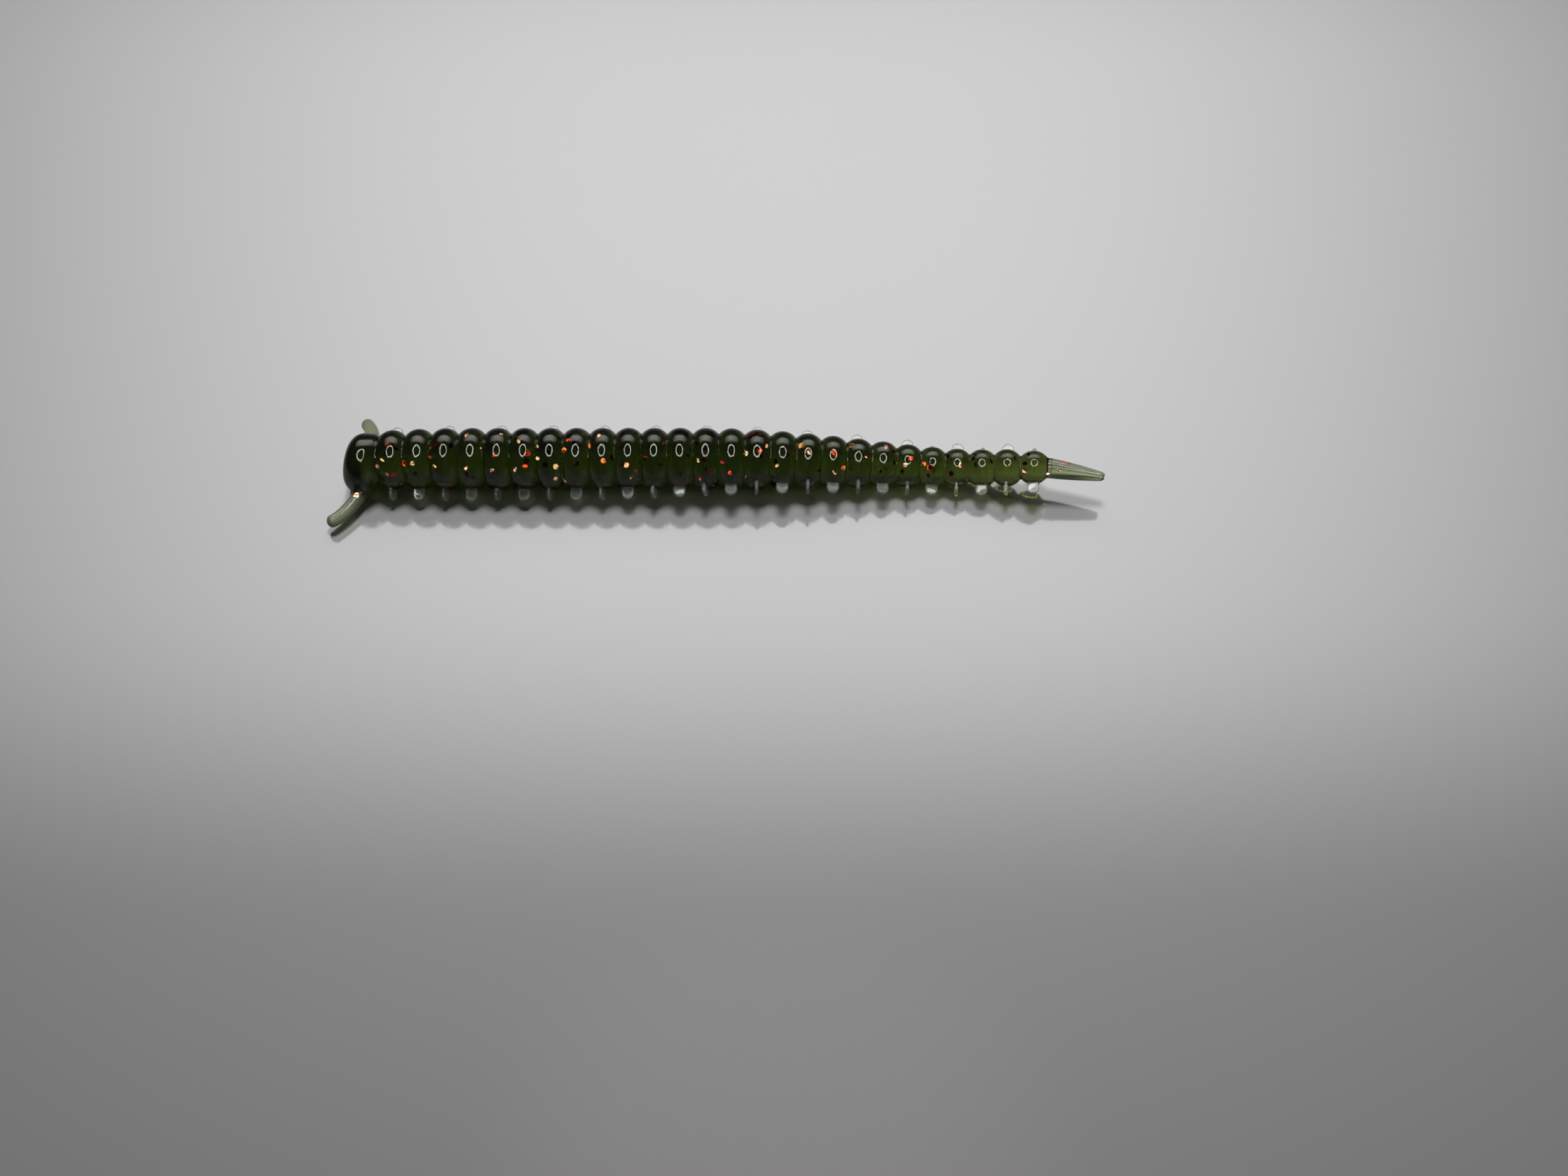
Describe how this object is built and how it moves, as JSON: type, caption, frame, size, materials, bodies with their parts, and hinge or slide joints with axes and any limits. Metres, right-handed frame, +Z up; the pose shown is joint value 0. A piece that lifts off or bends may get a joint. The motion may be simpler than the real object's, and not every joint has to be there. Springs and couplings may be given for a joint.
{
  "type": "soft plastic worm fishing lure",
  "caption": "Ringed soft plastic worm with a blunt nose, two feelers, small side fins on every ring and a forked tail. It bends at every groove.",
  "frame": {"origin": "centre of the flat nose face, on the body's axis", "axes": "+X runs along the body from the nose to the tail, +Z is up, the worm's left side is -Y"},
  "size_m": [0.0772, 0.0127, 0.0062],
  "materials": {
    "dark_green_plastic": "glossy translucent dark green plastisol with metal glitter inside",
    "pale_green_plastic": "the same plastisol where it is thin: pale translucent green",
    "clear_fin_plastic": "near-clear thin plastisol tabs"
  },
  "bodies": {
    "head": {"head": "dark_green_plastic"},
    "ring_02": {"ring_02": "dark_green_plastic", "fins_02": "clear_fin_plastic"},
    "ring_03": {"ring_03": "dark_green_plastic", "fins_03": "clear_fin_plastic"},
    "ring_04": {"ring_04": "dark_green_plastic", "fins_04": "clear_fin_plastic"},
    "ring_05": {"ring_05": "dark_green_plastic", "fins_05": "clear_fin_plastic"},
    "ring_06": {"ring_06": "dark_green_plastic", "fins_06": "clear_fin_plastic"},
    "ring_07": {"ring_07": "dark_green_plastic", "fins_07": "clear_fin_plastic"},
    "ring_08": {"ring_08": "dark_green_plastic", "fins_08": "clear_fin_plastic"},
    "ring_09": {"ring_09": "dark_green_plastic", "fins_09": "clear_fin_plastic"},
    "ring_10": {"ring_10": "dark_green_plastic", "fins_10": "clear_fin_plastic"},
    "ring_11": {"ring_11": "dark_green_plastic", "fins_11": "clear_fin_plastic"},
    "ring_12": {"ring_12": "dark_green_plastic", "fins_12": "clear_fin_plastic"},
    "ring_13": {"ring_13": "dark_green_plastic", "fins_13": "clear_fin_plastic"},
    "ring_14": {"ring_14": "dark_green_plastic", "fins_14": "clear_fin_plastic"},
    "ring_15": {"ring_15": "dark_green_plastic", "fins_15": "clear_fin_plastic"},
    "ring_16": {"ring_16": "dark_green_plastic", "fins_16": "clear_fin_plastic"},
    "ring_17": {"ring_17": "dark_green_plastic", "fins_17": "clear_fin_plastic"},
    "ring_18": {"ring_18": "dark_green_plastic", "fins_18": "clear_fin_plastic"},
    "ring_19": {"ring_19": "dark_green_plastic", "fins_19": "clear_fin_plastic"},
    "ring_20": {"ring_20": "dark_green_plastic", "fins_20": "clear_fin_plastic"},
    "ring_21": {"ring_21": "dark_green_plastic", "fins_21": "clear_fin_plastic"},
    "ring_22": {"ring_22": "dark_green_plastic", "fins_22": "clear_fin_plastic"},
    "ring_23": {"ring_23": "dark_green_plastic", "fins_23": "clear_fin_plastic"},
    "ring_24": {"ring_24": "dark_green_plastic", "fins_24": "clear_fin_plastic"},
    "ring_25": {"ring_25": "dark_green_plastic", "fins_25": "clear_fin_plastic"},
    "ring_26": {"ring_26": "dark_green_plastic", "fins_26": "clear_fin_plastic"},
    "ring_27": {"ring_27": "dark_green_plastic", "fins_27": "clear_fin_plastic"},
    "antenna_left": {"antenna_left": "pale_green_plastic"},
    "antenna_right": {"antenna_right": "pale_green_plastic"},
    "tail_upper": {"tail_upper": "pale_green_plastic"},
    "tail_lower": {"tail_lower": "pale_green_plastic"}
  },
  "joints": [
    {"name": "bend_01_side", "type": "hinge", "parent": "head", "child": "ring_02", "pos_m": [0.00363, 0, 0], "axis": [-0.0338, -0.0349, 0.9988], "range_deg": [-10, 10], "stiffness_Nm_per_rad": 0.0006175},
    {"name": "bend_02_lift", "type": "hinge", "parent": "ring_02", "child": "ring_03", "pos_m": [0.00629, 0, 0.00009], "axis": [0.0008, -0.9994, -0.0349], "range_deg": [-10, 10], "stiffness_Nm_per_rad": 0.0007224},
    {"name": "bend_03_side", "type": "hinge", "parent": "ring_03", "child": "ring_04", "pos_m": [0.00894, 0, 0.00015], "axis": [-0.0113, -0.0349, 0.9993], "range_deg": [-10, 10], "stiffness_Nm_per_rad": 0.0008084},
    {"name": "bend_04_lift", "type": "hinge", "parent": "ring_04", "child": "ring_05", "pos_m": [0.01158, 0, 0.00018], "axis": [0.0001, -0.9994, -0.0349], "range_deg": [-10, 10], "stiffness_Nm_per_rad": 0.0008596},
    {"name": "bend_05_side", "type": "hinge", "parent": "ring_05", "child": "ring_06", "pos_m": [0.01422, 0, 0.00019], "axis": [0, -0.0349, 0.9994], "range_deg": [-10, 10], "stiffness_Nm_per_rad": 0.0008807},
    {"name": "bend_06_lift", "type": "hinge", "parent": "ring_06", "child": "ring_07", "pos_m": [0.01685, 0, 0.00019], "axis": [0, -0.9994, -0.0349], "range_deg": [-10, 10], "stiffness_Nm_per_rad": 0.0008913},
    {"name": "bend_07_side", "type": "hinge", "parent": "ring_07", "child": "ring_08", "pos_m": [0.01946, 0, 0.00019], "axis": [0, -0.0349, 0.9994], "range_deg": [-10, 10], "stiffness_Nm_per_rad": 0.0009019},
    {"name": "bend_08_lift", "type": "hinge", "parent": "ring_08", "child": "ring_09", "pos_m": [0.02208, 0, 0.00019], "axis": [0, -0.9994, -0.0349], "range_deg": [-10, 10], "stiffness_Nm_per_rad": 0.0009126},
    {"name": "bend_09_side", "type": "hinge", "parent": "ring_09", "child": "ring_10", "pos_m": [0.02468, 0, 0.00019], "axis": [0, -0.0349, 0.9994], "range_deg": [-10, 10], "stiffness_Nm_per_rad": 0.0009234},
    {"name": "bend_10_lift", "type": "hinge", "parent": "ring_10", "child": "ring_11", "pos_m": [0.02727, 0, 0.00019], "axis": [0, -0.9994, -0.0349], "range_deg": [-10, 10], "stiffness_Nm_per_rad": 0.0009342},
    {"name": "bend_11_side", "type": "hinge", "parent": "ring_11", "child": "ring_12", "pos_m": [0.02985, 0, 0.00019], "axis": [0, -0.0349, 0.9994], "range_deg": [-10, 10], "stiffness_Nm_per_rad": 0.000945},
    {"name": "bend_12_lift", "type": "hinge", "parent": "ring_12", "child": "ring_13", "pos_m": [0.03243, 0, 0.00019], "axis": [0, -0.9994, -0.0349], "range_deg": [-10, 10], "stiffness_Nm_per_rad": 0.0009559},
    {"name": "bend_13_side", "type": "hinge", "parent": "ring_13", "child": "ring_14", "pos_m": [0.035, 0, 0.00019], "axis": [0.0049, -0.0349, 0.9994], "range_deg": [-10, 10], "stiffness_Nm_per_rad": 0.0009669},
    {"name": "bend_14_lift", "type": "hinge", "parent": "ring_14", "child": "ring_15", "pos_m": [0.03756, 0, 0.00017], "axis": [-0.0006, -0.9994, -0.0349], "range_deg": [-10, 10], "stiffness_Nm_per_rad": 0.0009587},
    {"name": "bend_15_side", "type": "hinge", "parent": "ring_15", "child": "ring_16", "pos_m": [0.04011, 0, 0.00013], "axis": [0.0343, -0.0349, 0.9988], "range_deg": [-10, 10], "stiffness_Nm_per_rad": 0.000899},
    {"name": "bend_16_lift", "type": "hinge", "parent": "ring_16", "child": "ring_17", "pos_m": [0.04265, 0, 0.00004], "axis": [-0.0016, -0.9994, -0.0349], "range_deg": [-10, 10], "stiffness_Nm_per_rad": 0.0007878},
    {"name": "bend_17_side", "type": "hinge", "parent": "ring_17", "child": "ring_18", "pos_m": [0.04519, 0, -0.00008], "axis": [0.0556, -0.0349, 0.9978], "range_deg": [-10, 10], "stiffness_Nm_per_rad": 0.000651},
    {"name": "bend_18_lift", "type": "hinge", "parent": "ring_18", "child": "ring_19", "pos_m": [0.04772, 0, -0.00022], "axis": [-0.0021, -0.9994, -0.0348], "range_deg": [-10, 10], "stiffness_Nm_per_rad": 0.0005114},
    {"name": "bend_19_side", "type": "hinge", "parent": "ring_19", "child": "ring_20", "pos_m": [0.05024, 0, -0.00037], "axis": [0.0628, -0.0352, 0.9974], "range_deg": [-10, 10], "stiffness_Nm_per_rad": 0.0003852},
    {"name": "bend_20_lift", "type": "hinge", "parent": "ring_20", "child": "ring_21", "pos_m": [0.05275, -0.00001, -0.00053], "axis": [-0.0209, -0.9992, -0.0348], "range_deg": [-10, 10], "stiffness_Nm_per_rad": 0.0002812},
    {"name": "bend_21_side", "type": "hinge", "parent": "ring_21", "child": "ring_22", "pos_m": [0.05525, -0.00006, -0.00069], "axis": [0.043, -0.0365, 0.9984], "range_deg": [-10, 10], "stiffness_Nm_per_rad": 0.0002019},
    {"name": "bend_22_lift", "type": "hinge", "parent": "ring_22", "child": "ring_23", "pos_m": [0.05774, -0.00015, -0.0008], "axis": [-0.0565, -0.9978, -0.0349], "range_deg": [-10, 10], "stiffness_Nm_per_rad": 0.0001456},
    {"name": "bend_23_side", "type": "hinge", "parent": "ring_23", "child": "ring_24", "pos_m": [0.06023, -0.00029, -0.0008], "axis": [-0.0637, -0.0302, 0.9975], "range_deg": [-10, 10], "stiffness_Nm_per_rad": 0.0001083},
    {"name": "bend_24_lift", "type": "hinge", "parent": "ring_24", "child": "ring_25", "pos_m": [0.0627, -0.00048, -0.00064], "axis": [-0.0903, -0.9953, -0.0346], "range_deg": [-10, 10], "stiffness_Nm_per_rad": 0.000085},
    {"name": "bend_25_side", "type": "hinge", "parent": "ring_25", "child": "ring_26", "pos_m": [0.06517, -0.00072, -0.00033], "axis": [-0.1555, -0.0173, 0.9877], "range_deg": [-10, 10], "stiffness_Nm_per_rad": 0.0000727},
    {"name": "bend_26_lift", "type": "hinge", "parent": "ring_26", "child": "ring_27", "pos_m": [0.06763, -0.001, 0.00005], "axis": [-0.1037, -0.994, -0.0346], "range_deg": [-10, 10], "stiffness_Nm_per_rad": 0.000053},
    {"name": "antenna_left_flex", "type": "hinge", "parent": "head", "child": "antenna_left", "pos_m": [0.0021, -0.00238, -0.00142], "axis": [0, 0, 1], "range_deg": [-20, 20], "stiffness_Nm_per_rad": 0.00001679},
    {"name": "antenna_right_flex", "type": "hinge", "parent": "head", "child": "antenna_right", "pos_m": [0.00255, 0.00268, 0.00028], "axis": [0, 0, 1], "range_deg": [-20, 20], "stiffness_Nm_per_rad": 0.00001679},
    {"name": "tail_upper_flex", "type": "hinge", "parent": "ring_27", "child": "tail_upper", "pos_m": [0.07027, -0.00128, 0.0004], "axis": [0.0344, -0.0064, 0.9994], "range_deg": [-20, 20], "stiffness_Nm_per_rad": 0.00001458},
    {"name": "tail_lower_flex", "type": "hinge", "parent": "ring_27", "child": "tail_lower", "pos_m": [0.07027, -0.00128, 0.0004], "axis": [0.0344, -0.0064, 0.9994], "range_deg": [-20, 20], "stiffness_Nm_per_rad": 0.00001458}
  ]
}
